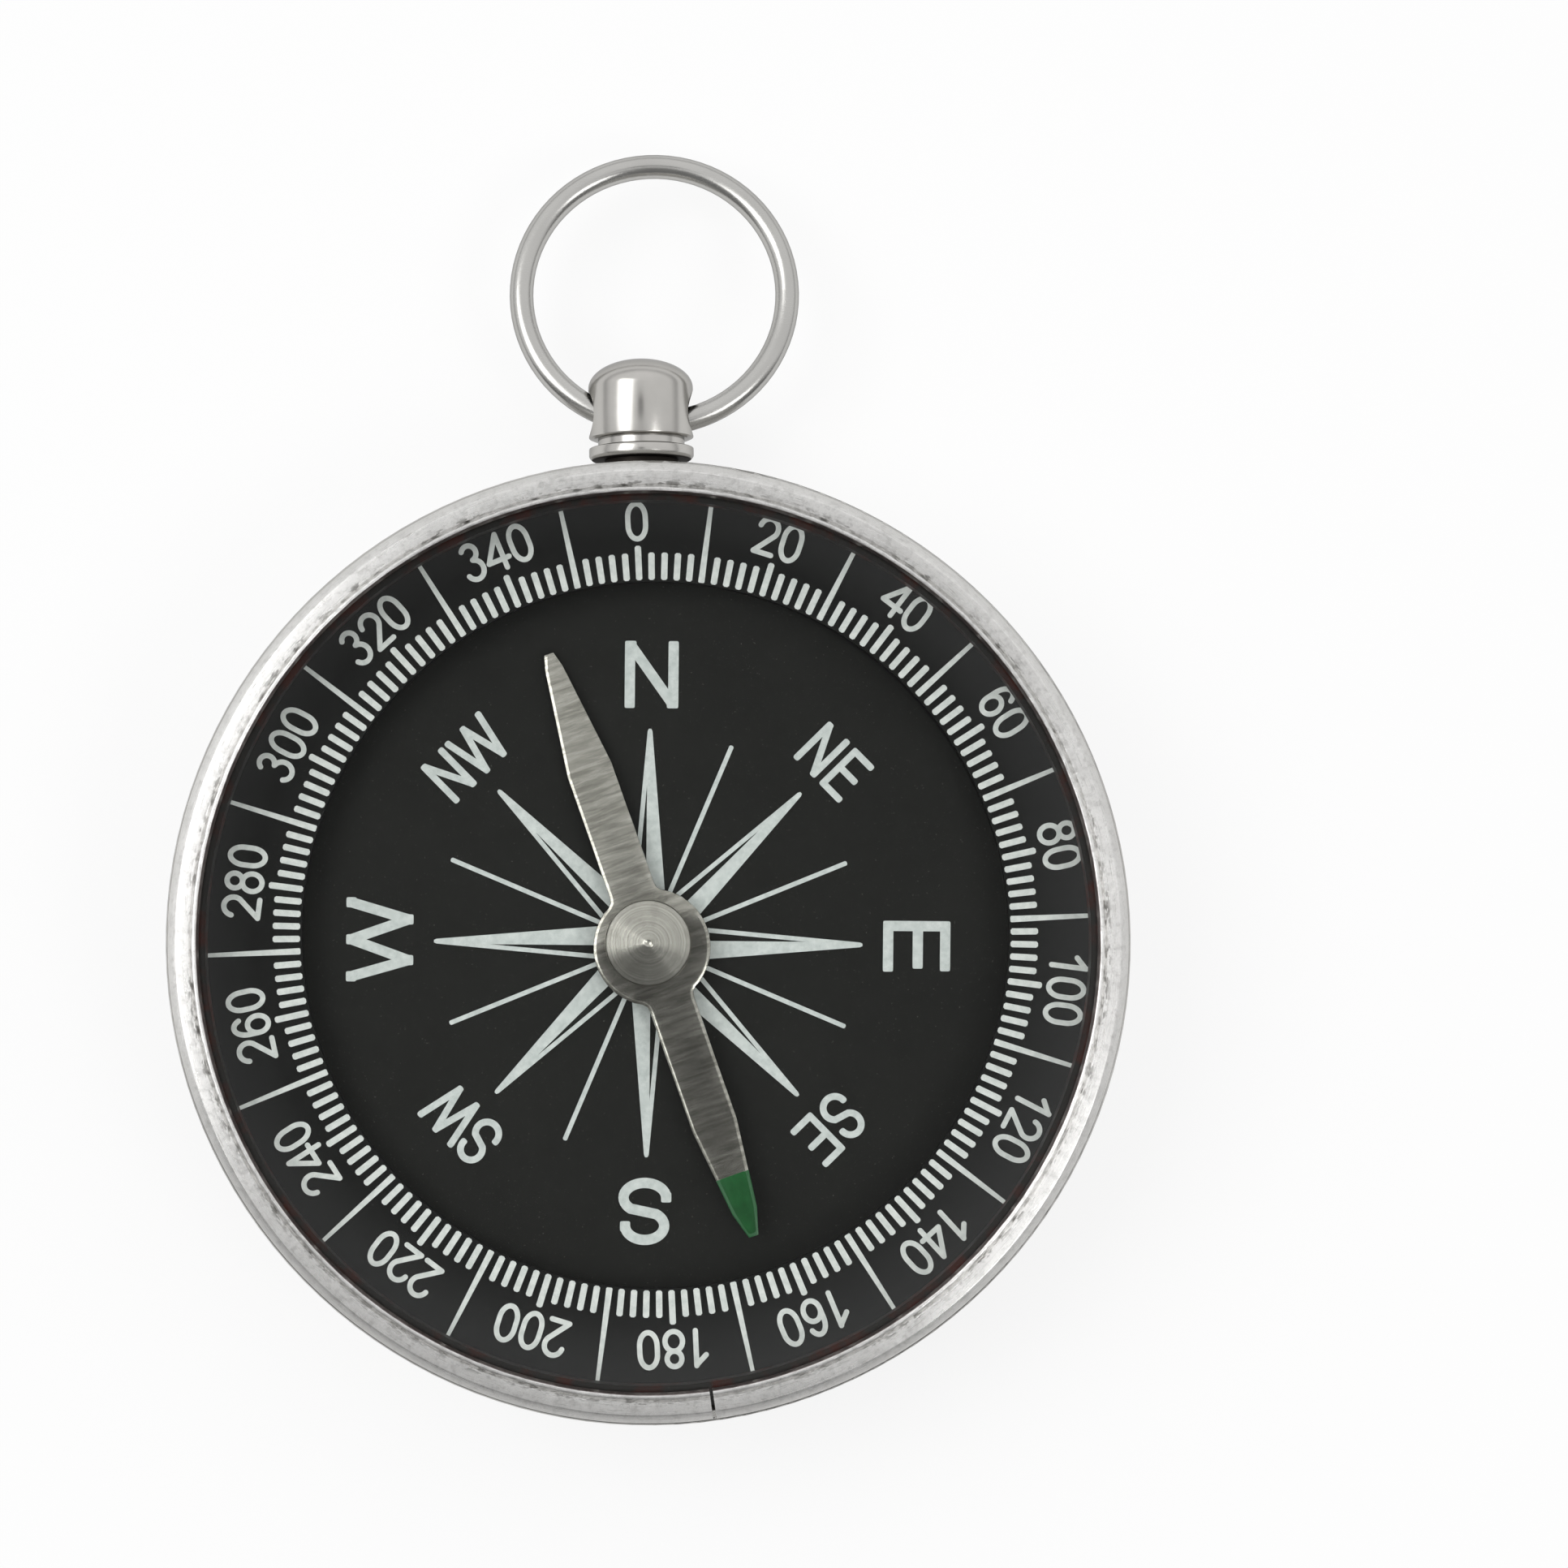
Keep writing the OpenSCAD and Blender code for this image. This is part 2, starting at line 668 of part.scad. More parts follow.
case_shell();
bezel_ring();
crystal();
spacer_ring();
degree_ring();
degree_marks();
rose_card();
rose_marks();
dial_tray();
pivot_bush();
pivot_point();
needle_blade();
needle_paint();
needle_cap();
cap_jewel();
stem();
stem_washer();
stem_screw();
bow_ring();
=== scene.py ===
import math

import bmesh
import bpy
from mathutils import Matrix, Vector, noise


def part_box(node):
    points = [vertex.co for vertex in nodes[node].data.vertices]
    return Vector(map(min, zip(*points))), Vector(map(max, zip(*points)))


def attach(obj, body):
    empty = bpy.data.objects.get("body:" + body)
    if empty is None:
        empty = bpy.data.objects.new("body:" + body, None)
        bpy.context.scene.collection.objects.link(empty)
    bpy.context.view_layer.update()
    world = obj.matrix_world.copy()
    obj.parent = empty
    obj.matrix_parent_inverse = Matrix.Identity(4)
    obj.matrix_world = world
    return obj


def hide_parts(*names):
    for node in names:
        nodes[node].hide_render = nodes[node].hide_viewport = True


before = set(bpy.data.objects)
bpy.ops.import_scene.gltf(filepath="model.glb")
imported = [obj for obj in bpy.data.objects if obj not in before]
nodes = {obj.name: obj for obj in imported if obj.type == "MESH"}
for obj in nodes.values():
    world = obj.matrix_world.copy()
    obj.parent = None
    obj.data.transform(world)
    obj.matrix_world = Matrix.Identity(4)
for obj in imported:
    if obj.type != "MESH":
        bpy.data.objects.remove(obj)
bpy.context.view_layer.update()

mm = 0.001
print("frame loaded:", len(nodes), "nodes")


def boxOf(node):
    # lowest and highest corner of a node, in mm
    low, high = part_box(node)
    return low / mm, high / mm


def screenColour(red, green, blue):
    # a colour as a screen shows it, from 0 to 255, in the values that a shader takes
    return tuple(((c / 255 + 0.055) / 1.055) ** 2.4 for c in (red, green, blue))


# nodes and shader maths

class Signal:
    # the output of a shader node, which takes part in plain arithmetic
    def __init__(self, graph, socket):
        self.graph = graph
        self.socket = socket

    def __add__(self, other):
        return self.graph.maths("ADD", self, other)

    def __radd__(self, other):
        return self.graph.maths("ADD", other, self)

    def __sub__(self, other):
        return self.graph.maths("SUBTRACT", self, other)

    def __rsub__(self, other):
        return self.graph.maths("SUBTRACT", other, self)

    def __mul__(self, other):
        return self.graph.maths("MULTIPLY", self, other)

    def __rmul__(self, other):
        return self.graph.maths("MULTIPLY", other, self)

    def __pow__(self, other):
        return self.graph.maths("POWER", self, other)


class Graph:
    # a node tree and the few ways in which nodes are added to it
    def __init__(self, tree):
        self.tree = tree
        tree.nodes.clear()

    def feed(self, socket, value):
        if isinstance(value, Signal):
            self.tree.links.new(value.socket, socket)
        elif socket.type == "RGBA":
            socket.default_value = (*value[:3], 1)
        else:
            socket.default_value = value

    def node(self, kind, settings=None, inputs=None, output=0):
        made = self.tree.nodes.new("ShaderNode" + kind)
        for name, value in (settings or {}).items():
            setattr(made, name, value)
        for name, value in (inputs or {}).items():
            self.feed(made.inputs[name], value)
        return Signal(self, made.outputs[output]) if made.outputs else made

    def maths(self, operation, first, second=0.0):
        return self.node("Math", {"operation": operation}, {0: first, 1: second})

    def point(self, space="Object"):
        return self.node("TexCoord", output=space)

    def axes(self, vector):
        split = self.node("SeparateXYZ", inputs={0: vector})
        return [Signal(self, socket) for socket in split.socket.node.outputs]

    def join(self, x=0.0, y=0.0, z=0.0):
        return self.node("CombineXYZ", inputs={"X": x, "Y": y, "Z": z})

    def fromAxis(self, vector):
        # distance from the Z axis
        x, y, z = self.axes(vector)
        return (x * x + y * y) ** 0.5

    def moved(self, centre=(0, 0, 0), turn=(0, 0, 0)):
        # the place on the piece in mm, from a centre in mm and in axes turned by degrees
        offset = self.node("VectorMath", {"operation": "SUBTRACT"},
                           {0: self.point(), 1: Vector(centre) * mm})
        return self.node("Mapping", inputs={"Vector": offset, "Scale": (1 / mm,) * 3,
                                            "Rotation": [math.radians(-a) for a in turn]})

    def grain(self, vector, detail=3.0, roughness=0.55, stretch=(1, 1, 1)):
        # noise whose features are about as long as stretch says, in the vector's own units
        scaled = self.node("VectorMath", {"operation": "DIVIDE"}, {0: vector, 1: stretch})
        return self.node("TexNoise", inputs={"Vector": scaled, "Scale": 1.0,
                                             "Detail": detail, "Roughness": roughness})

    def polarGrain(self, place, wide, long, detail=3.0):
        # fine marks that run round the Z axis: narrow across the radius, long round the turn
        mmPerRadian = 20.0
        x, y, z = self.axes(place)
        bearing = self.maths("ARCTAN2", y, x)
        radius = (x * x + y * y) ** 0.5
        return self.grain(self.join(radius, bearing * mmPerRadian, z), detail, 0.6,
                          (wide, long, wide))

    def spread(self, value, low, high, start=0.0, end=1.0):
        # the part of a value between low and high, stretched from start to end
        return self.node("MapRange", inputs={"Value": value, "From Min": low, "From Max": high,
                                             "To Min": start, "To Max": end})

    def blend(self, share, first, second):
        return self.node("Mix", {"data_type": "RGBA"}, {0: share, 6: first, 7: second}, output=2)

    def bump(self, height, depth):
        # relief of a depth in mm, from a height between 0 and 1
        return self.node("Bump", inputs={"Height": height, "Distance": depth * mm})

    def rays(self, *kinds):
        # 1 for a ray of one of these kinds, and 0 for any other
        path = self.node("LightPath").socket.node
        found = [Signal(self, path.outputs["Is " + kind + " Ray"]) for kind in kinds]
        total = found[0]
        for one in found[1:]:
            total = self.maths("MAXIMUM", total, one)
        return total


class Finish(Graph):
    # a material: one Principled shader and what feeds it
    def __init__(self, name, **values):
        self.material = bpy.data.materials.new(name)
        self.material.use_nodes = True
        super().__init__(self.material.node_tree)
        self.surface = self.node("BsdfPrincipled").socket.node
        self.output = self.node("OutputMaterial",
                                inputs={"Surface": Signal(self, self.surface.outputs[0])})
        self.set(**values)

    def set(self, **values):
        # baseColor stands for the socket Base Color, coatWeight for Coat Weight, and so on
        for name, value in values.items():
            label = "".join(" " + c if c.isupper() else c for c in name).title()
            self.feed(self.surface.inputs[label.replace("Ior", "IOR")], value)

    def giveWay(self, share, other):
        # another shader takes a share of the surface
        own = Signal(self, self.surface.outputs[0])
        mixed = self.node("MixShader", inputs={0: share, 1: own, 2: other})
        self.feed(self.output.inputs["Surface"], mixed)


def dress(node, finish):
    # give a CAD node its finish
    mesh = nodes[node].data
    mesh.materials.clear()
    mesh.materials.append(finish.material)


# meshes, drawn in mm

weld = 1e-5


def finishPiece(name, bm, body, finish, sharp=35, replaced=()):
    bmesh.ops.scale(bm, vec=(mm, mm, mm), verts=bm.verts)
    mesh = bpy.data.meshes.new(name)
    bm.to_mesh(mesh)
    bm.free()
    mesh.shade_smooth()
    mesh.set_sharp_from_angle(angle=math.radians(sharp))
    mesh.materials.append(finish.material)
    piece = bpy.data.objects.new(name, mesh)
    bpy.context.scene.collection.objects.link(piece)
    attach(piece, body)
    if replaced:
        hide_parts(*replaced)


def vertsOf(grown):
    # the vertices among what an extrusion returns
    return [g for g in grown["geom"] if isinstance(g, bmesh.types.BMVert)]


def turnVerts(bm, verts, degrees, axis):
    bmesh.ops.rotate(bm, verts=verts, cent=(0, 0, 0),
                     matrix=Matrix.Rotation(math.radians(degrees), 3, axis))


def turned(outline, steps, rounding, start=0, sweep=360):
    # an outline of (radius, height) points is spun round Z, then the corners whose numbers
    # rounding gives are rounded, each by its (radius, segments)
    near = 1e-4
    bm = bmesh.new()
    turn = Matrix.Rotation(math.radians(start), 4, "Z")
    ring = [bm.verts.new(turn @ Vector((r, 0, z))) for r, z in outline]
    edges = [bm.edges.new(pair) for pair in zip(ring, ring[1:])]
    if outline[0][0] > 0 or outline[-1][0] > 0:
        edges.append(bm.edges.new((ring[-1], ring[0])))
    bmesh.ops.spin(bm, geom=ring + edges, cent=(0, 0, 0), axis=(0, 0, 1), dvec=(0, 0, 0),
                   angle=math.radians(sweep), steps=steps, use_merge=sweep == 360)
    bmesh.ops.remove_doubles(bm, verts=bm.verts, dist=weld)
    if sweep < 360:
        bmesh.ops.holes_fill(bm, edges=[e for e in bm.edges if e.is_boundary], sides=0)
    bmesh.ops.recalc_face_normals(bm, faces=bm.faces)
    for index, (radius, segments) in rounding.items():
        r, z = outline[index]
        loop = [e for e in bm.edges
                if all(abs(v.co.z - z) < near and abs(v.co.xy.length - r) < near
                       for v in e.verts)]
        bmesh.ops.bevel(bm, geom=loop, offset=radius, offset_type="OFFSET", segments=segments,
                        profile=0.5, affect="EDGES", clamp_overlap=True, material=-1)
    return bm


def curve(x, y, wide, high, first, last, steps=16):
    # points on an arc, from one angle to another
    angles = [math.radians(first + (last - first) * step / steps) for step in range(steps + 1)]
    return [(x + wide * math.cos(a), y + high * math.sin(a)) for a in angles]


def drilled(bm, drill):
    # the body with the drill's shape cut out of it
    objects = []
    for shape, name in ((bm, "body"), (drill, "drill")):
        mesh = bpy.data.meshes.new(name)
        shape.to_mesh(mesh)
        shape.free()
        objects.append(bpy.data.objects.new(name, mesh))
        bpy.context.scene.collection.objects.link(objects[-1])
    cut = objects[0].modifiers.new("cut", "BOOLEAN")
    cut.object = objects[1]
    cut.solver = "EXACT"
    result = bmesh.new()
    result.from_object(objects[0], bpy.context.evaluated_depsgraph_get())
    for item in objects:
        bpy.data.objects.remove(item)
    return result


# camera, straight above the middle of the dial

view = {"height": 178.2, "lens": 86.1, "sensor": 36, "shiftX": 0.0866, "shiftY": 0.1014,
        "turn": -0.79, "clipStart": 0.001}

cameraData = bpy.data.cameras.new("camera")
cameraData.lens = view["lens"]
cameraData.sensor_width = view["sensor"]
cameraData.shift_x = view["shiftX"]
cameraData.shift_y = view["shiftY"]
cameraData.clip_start = view["clipStart"]
camera = bpy.data.objects.new("camera", cameraData)
camera.location = (0, 0, view["height"] * mm)
camera.rotation_euler = (0, 0, math.radians(view["turn"]))
bpy.context.scene.collection.objects.link(camera)
bpy.context.scene.camera = camera
bpy.context.scene.view_settings.view_transform = "Standard"


# studio: a soft room that is dark straight above and to the south, two soft boxes and a white floor

studio = {"room": 0.9, "north": 0.12, "horizon": 0.4, "horizonFrom": 0.32, "horizonTo": 0.12,
          "south": 0.3, "southFrom": -0.14, "southTo": -0.4,
          "dark": 0.15, "darkBearing": 330, "darkTilt": 0.4, "darkFrom": 5.8, "darkTo": 7.0}
softBoxes = {
    "leftBox": {"bearing": 284, "fromTop": 35, "wide": 0.60, "high": 0.50,
                "distance": 0.9, "power": 2.3},
    "rightBox": {"bearing": 126, "fromTop": 38, "wide": 0.34, "high": 0.32,
                 "distance": 0.9, "power": 1.1}}
ground = {"size": 1.5, "below": 0.02, "low": (0.93, 0.93, 0.93), "high": (0.95, 0.95, 0.95),
          "glow": 0.8}


def buildRoom():
    # the world's light: its level for each direction
    world = bpy.data.worlds.new("studio")
    bpy.context.scene.world = world
    world.use_nodes = True
    room = Graph(world.node_tree)
    outward = room.point("Generated")
    northward, upward = room.axes(outward)[1:]
    tilt = math.radians(studio["darkTilt"])
    bearing = math.radians(studio["darkBearing"])
    darkPlace = (math.sin(tilt) * math.sin(bearing), math.sin(tilt) * math.cos(bearing),
                 math.cos(tilt))
    facing = room.node("VectorMath", {"operation": "DOT_PRODUCT"}, {0: outward, 1: darkPlace},
                       output=1)
    fromDark = room.maths("ARCCOSINE", facing) * math.degrees(1)
    lowDown = room.spread(upward, studio["horizonFrom"], studio["horizonTo"])
    walls = studio["room"] + northward * studio["north"] - lowDown * studio["horizon"]
    lit = room.spread(fromDark, studio["darkFrom"], studio["darkTo"])
    behind = room.spread(northward, studio["southFrom"], studio["southTo"], 1.0, studio["south"])
    level = walls * behind * lit + studio["dark"] * (1 - lit)
    background = room.node("Background", inputs={"Color": (1, 1, 1), "Strength": level})
    room.node("OutputWorld", inputs={"Surface": background})


def buildSoftBox(name, box):
    # an area lamp aimed at the compass, by its bearing from the stem and its angle from the top
    lamp = bpy.data.lights.new(name, "AREA")
    lamp.shape = "RECTANGLE"
    lamp.size = box["high"]
    lamp.size_y = box["wide"]
    lamp.energy = box["power"]
    aim = (Matrix.Rotation(math.radians(90 - box["bearing"]), 4, "Z")
           @ Matrix.Rotation(math.radians(box["fromTop"]), 4, "Y"))
    item = bpy.data.objects.new(name, lamp)
    item.matrix_world = aim @ Matrix.Translation((0, 0, box["distance"]))
    bpy.context.scene.collection.objects.link(item)


def buildFloor():
    # a pale floor, which looks white to the eye and to the glass and still takes a shadow
    finish = Finish("paleFloor", roughness=0.9, specularIorLevel=0.1)
    paper = finish.grain(finish.moved(), 3, 0.6, (4, 4, 4))
    finish.set(baseColor=finish.blend(paper, ground["low"], ground["high"]),
               normal=finish.bump(paper, 0.02))
    white = finish.node("Emission", inputs={"Color": (1, 1, 1), "Strength": 1.0})
    finish.giveWay(finish.rays("Camera", "Glossy", "Transmission") * ground["glow"], white)
    grid = bmesh.new()
    bmesh.ops.create_grid(grid, x_segments=8, y_segments=8, size=ground["size"])
    mesh = bpy.data.meshes.new("floor")
    grid.to_mesh(mesh)
    grid.free()
    mesh.materials.append(finish.material)
    floor = bpy.data.objects.new("floor", mesh)
    floor.location = (0, 0, -ground["below"] * mm)
    bpy.context.scene.collection.objects.link(floor)


buildRoom()
for name, box in softBoxes.items():
    buildSoftBox(name, box)
buildFloor()
print("camera, floor and lights ready")


# CAD nodes of metal

def satinMetal(name, colour, roughness, scratch, turn=(0, 0, 0), centre=(0, 0, 0), wide=0.05):
    # plated metal with the marks of turning and polishing round an axis
    finish = Finish(name, metallic=1.0)
    place = finish.moved(centre, turn)
    marks = finish.polarGrain(place, wide, 9.0)
    cloud = finish.spread(finish.grain(place, 2, 0.5, (3, 3, 3)), 0.35, 0.65)
    finish.set(baseColor=finish.blend(cloud, [c * 0.93 for c in colour], colour),
               roughness=finish.spread(marks, 0.3, 0.7, roughness - 0.05, roughness + 0.07),
               normal=finish.bump(marks, scratch))
    return finish


stemAxis = {"turn": (90, 0, 0), "centre": (0, 0, 4.8)}
nickel = screenColour(190, 189, 186)
steel = screenColour(176, 176, 174)
brass = screenColour(200, 168, 96)
darkSteel = screenColour(150, 152, 156)

dress("case_shell", satinMetal("satinCase", nickel, 0.24, 0.006))
wireFinish = satinMetal("brightWire", nickel, 0.22, 0.0003)
wireFinish.set(specularTint=(0.5, 0.5, 0.5))
dress("bow_ring", wireFinish)
dress("stem_screw", satinMetal("screwMetal", steel, 0.25, 0.003, **stemAxis))
dress("stem_washer", satinMetal("washerMetal", steel, 0.3, 0.003, **stemAxis))
dress("pivot_bush", satinMetal("turnedBrass", brass, 0.25, 0.003))
dress("pivot_point", satinMetal("groundSteel", darkSteel, 0.18, 0.001, wide=0.02))


# crystal: clear to the light on its way in, and glass to the eye

def clearCrystal():
    finish = Finish("clearCrystal", baseColor=(0.97, 0.985, 0.98), transmissionWeight=1.0,
                    ior=1.3)
    smear = finish.grain(finish.moved(), 2, 0.6, (0.5, 0.5, 0.5))
    finish.set(roughness=finish.spread(smear, 0.5, 0.8, 0.0, 0.03))
    clear = finish.node("BsdfTransparent", inputs={"Color": (0.97, 0.98, 0.975)})
    finish.giveWay(finish.rays("Shadow", "Diffuse"), clear)
    return finish


dress("crystal", clearCrystal())


# dark parts and print

def darkFinish(name, colour, roughness, fleck, relief):
    # black lacquer with a fine tooth and a few pale flecks
    finish = Finish(name, specularIorLevel=0.08)
    place = finish.moved()
    tooth = finish.grain(place, 2, 0.5, (0.8, 0.8, 0.8))
    cloud = finish.grain(place, 3, 0.5, (4, 4, 4))
    dust = finish.spread(finish.grain(place, 2, 0.5, (0.09, 0.09, 0.09)), 0.68, 0.78)
    plain = finish.blend(cloud, [c * 0.8 for c in colour], [c * 1.2 for c in colour])
    finish.set(baseColor=finish.blend(dust * fleck, plain, screenColour(150, 150, 145)),
               roughness=finish.spread(tooth, 0.3, 0.7, roughness - 0.06, roughness + 0.08),
               normal=finish.bump(tooth, relief))
    return finish


def rustySpacer():
    # dark, with reddish patches
    finish = darkFinish("darkSpacer", screenColour(50, 48, 46), 0.5, 0.2, 0.001)
    rust = finish.spread(finish.grain(finish.moved(), 3, 0.6, (1.6, 1.6, 1.6)), 0.5, 0.66)
    finish.set(baseColor=finish.blend(rust, screenColour(48, 46, 44), screenColour(70, 38, 32)))
    return finish


def inkFinish(name, thin, full):
    # pale screened ink: thin and a little patchy
    finish = Finish(name, roughness=0.55, specularIorLevel=0.3)
    place = finish.moved()
    patch = finish.spread(finish.grain(place, 3, 0.6, (0.35, 0.35, 0.35)), 0.3, 0.7)
    fine = finish.grain(place, 2, 0.6, (0.06, 0.06, 0.06))
    pinholes = finish.spread(fine, 0.62, 0.8) * 0.3
    finish.set(baseColor=finish.blend(pinholes, finish.blend(patch, thin, full),
                                      screenColour(120, 126, 122)),
               normal=finish.bump(fine, 0.004))
    return finish


def garnet():
    finish = Finish("garnetJewel", roughness=0.12, coatWeight=0.3)
    vein = finish.grain(finish.moved(), 3, 0.5, (0.4, 0.4, 0.4))
    finish.set(baseColor=finish.blend(vein, screenColour(120, 22, 40), screenColour(160, 44, 62)))
    return finish


cardInk = inkFinish("cardInk", screenColour(196, 202, 199), screenColour(222, 226, 223))
ringInk = inkFinish("ringInk", screenColour(210, 214, 210), screenColour(234, 236, 232))
dress("spacer_ring", rustySpacer())
dress("degree_ring", darkFinish("ringLacquer", screenColour(22, 22, 21), 0.5, 0.12, 0.0002))
dress("rose_card", darkFinish("cardLacquer", screenColour(31, 31, 29), 0.55, 0.2, 0.0002))
dress("dial_tray", darkFinish("mouldedTray", screenColour(34, 34, 35), 0.55, 0.05, 0.003))
dress("degree_marks", ringInk)
dress("rose_marks", cardInk)
dress("cap_jewel", garnet())


# numerals and letters: pen strokes with a height, laid on the ring and the card

# every figure is a list of strokes in units of its own height, round its middle line
figures = {
    "0": [curve(0, 0.62, 0.25, 0.38, 0, 180, 16) + curve(0, 0.38, 0.25, 0.38, 180, 360, 16)
          + [(0.25, 0.62)]],
    "1": [[(-0.18, 0.7), (0.1, 0.98)], [(0.1, 1), (0.1, 0)]],
    "2": [curve(0, 0.72, 0.26, 0.28, 172, -35) + [(-0.26, 0)], [(-0.26, 0), (0.26, 0)]],
    "3": [curve(-0.01, 0.78, 0.21, 0.22, 150, -80), curve(-0.01, 0.28, 0.25, 0.28, 80, -155)],
    "4": [[(0.14, 1), (-0.31, 0.27)], [(-0.31, 0.27), (0.3, 0.27)], [(0.14, 1), (0.14, 0)]],
    "6": [curve(0, 0.3, 0.24, 0.3, 0, 360, 28),
          curve(0, 0.6, 0.24, 0.4, 34, 180) + [(-0.24, 0.3)]],
    "8": [curve(0, 0.78, 0.21, 0.22, 0, 360, 26), curve(0, 0.28, 0.25, 0.28, 0, 360, 26)],
    "N": [[(-0.5, 0), (-0.5, 1)], [(-0.47, 1), (0.47, 0)], [(0.5, 0), (0.5, 1)]],
    "E": [[(-0.5, 0), (-0.5, 1)], [(-0.5, 1), (0.48, 1)], [(-0.5, 0.52), (0.42, 0.52)],
          [(-0.5, 0), (0.5, 0)]],
    "S": [curve(0, 0.75, 0.45, 0.25, 3, 235, 22) + curve(0, 0.26, 0.49, 0.26, 48, -178, 24)],
    "W": [[(-0.5, 1), (-0.275, 0)], [(-0.275, 0), (0, 1)], [(0, 1), (0.275, 0)],
          [(0.275, 0), (0.5, 1)]],
}


def isClosed(points):
    return math.dist(points[0], points[-1]) < 1e-6


def levelOf(height, index):
    # strokes that meet differ a little in height, so that no two share a plane
    return height - 0.0012 * (index % 5)


def thickened(bm, width):
    # the walls given a width by a modifier
    wall = bpy.data.meshes.new("wall")
    bm.to_mesh(wall)
    bm.free()
    item = bpy.data.objects.new("wall", wall)
    bpy.context.scene.collection.objects.link(item)
    pen = item.modifiers.new("pen", "SOLIDIFY")
    pen.thickness = width
    pen.offset = 0
    pen.use_even_offset = True
    drawn = item.evaluated_get(bpy.context.evaluated_depsgraph_get())
    thick = bmesh.new()
    thick.from_mesh(bpy.data.meshes.new_from_object(drawn))
    bpy.data.objects.remove(item)
    return thick


def penStrokes(strokes, width, bottom, height, roundness=1.0):
    # each stroke is a low wall along its path, thickened to the pen's width, with round or
    # squarish ends that are a little lower than the wall
    endDrop = 0.0006
    walls = bmesh.new()
    for index, (points, bearing) in enumerate(strokes):
        path = points[:-1] if isClosed(points) else points
        corners = [walls.verts.new((x, y, bottom)) for x, y in path]
        edges = [walls.edges.new(pair) for pair in zip(corners, corners[1:])]
        if isClosed(points):
            edges.append(walls.edges.new((corners[-1], corners[0])))
        grown = bmesh.ops.extrude_edge_only(walls, edges=edges)
        bmesh.ops.translate(walls, vec=(0, 0, levelOf(height, index)), verts=vertsOf(grown))
    bm = thickened(walls, width)
    for index, (points, bearing) in enumerate(strokes):
        if isClosed(points):
            continue
        for x, y in (points[0], points[-1]):
            disc = bmesh.ops.create_circle(bm, cap_ends=True, segments=20, radius=1)["verts"]
            for vert in disc:
                vert.co.xy = [math.copysign(abs(c) ** roundness, c) * width / 2
                              for c in vert.co.xy]
            turnVerts(bm, disc, -bearing, "Z")
            bmesh.ops.translate(bm, verts=disc, vec=(x, y, bottom))
            face = list({f for v in disc for f in v.link_faces})
            grown = bmesh.ops.extrude_face_region(bm, geom=face)
            bmesh.ops.translate(bm, vec=(0, 0, levelOf(height - endDrop, index)),
                                verts=vertsOf(grown))
    bmesh.ops.recalc_face_normals(bm, faces=bm.faces)
    return bm


def laidOut(figure, wide, high, middle, base, bearing, centre=(0, 0)):
    # a figure's strokes, stood at a radius on a bearing clockwise from the stem
    turn = Matrix.Rotation(math.radians(-bearing), 2)
    for points in figures[figure]:
        placed = [Vector((middle + x * wide, base + y * high)) for x, y in points]
        yield [tuple(turn @ point + Vector(centre)) for point in placed], bearing


numerals = {"base": 18.055, "height": 1.6, "pitch": 1.163, "pen": 0.24, "turn": -1.8,
            "centre": (0.33, 0.35), "every": 20}

ringTop = boxOf("degree_ring")[1].z
inkHeight = boxOf("degree_marks")[1].z - ringTop
strokes = []
for number in range(0, 360, numerals["every"]):
    word = str(number)
    for place, figure in enumerate(word):
        middle = (place - (len(word) - 1) / 2) * numerals["pitch"]
        strokes += laidOut(figure, numerals["height"], numerals["height"], middle,
                           numerals["base"], number + numerals["turn"], numerals["centre"])
finishPiece("numerals", penStrokes(strokes, numerals["pen"], ringTop, inkHeight),
            "compass", ringInk)

# each letter's bearing and width
letters = {"middle": 12.33, "aside": 0.05, "high": 2.62, "pen": 0.47, "ends": 0.3, "turn": 1.3,
           "words": {"N": (0, 2.0), "E": (90, 1.87), "S": (180, 2.0), "W": (270, 3.4)}}

cardTop = boxOf("rose_card")[1].z
strokes = []
for figure, (bearing, wide) in letters["words"].items():
    strokes += laidOut(figure, wide, letters["high"], letters["aside"],
                       letters["middle"] - letters["high"] / 2, bearing + letters["turn"])
finishPiece("letters", penStrokes(strokes, letters["pen"], cardTop, inkHeight,
                                  letters["ends"]), "compass", cardInk)

# each pair's bearing and the middles of its two letters
smallLetters = {"middle": 11.91, "high": 2.06, "pen": 0.31, "ends": 0.7, "turn": 1.3,
                "wide": {"N": 1.1, "E": 1.02, "S": 1.1, "W": 1.94},
                "words": {"NE": (45, (-0.75, 0.9)), "SE": (135, (-0.8, 0.78)),
                          "SW": (225, (-1.06, 0.74)), "NW": (315, (-1.14, 0.81))}}

strokes = []
for word, (bearing, middles) in smallLetters["words"].items():
    for figure, middle in zip(word, middles):
        strokes += laidOut(figure, smallLetters["wide"][figure], smallLetters["high"], middle,
                           smallLetters["middle"] - smallLetters["high"] / 2,
                           bearing + smallLetters["turn"])
finishPiece("smallLetters", penStrokes(strokes, smallLetters["pen"], cardTop, inkHeight,
                                       smallLetters["ends"]), "compass", cardInk)
print("print on the dial ready")


# bezel ring: split, with a ragged lip that was turned over the crystal

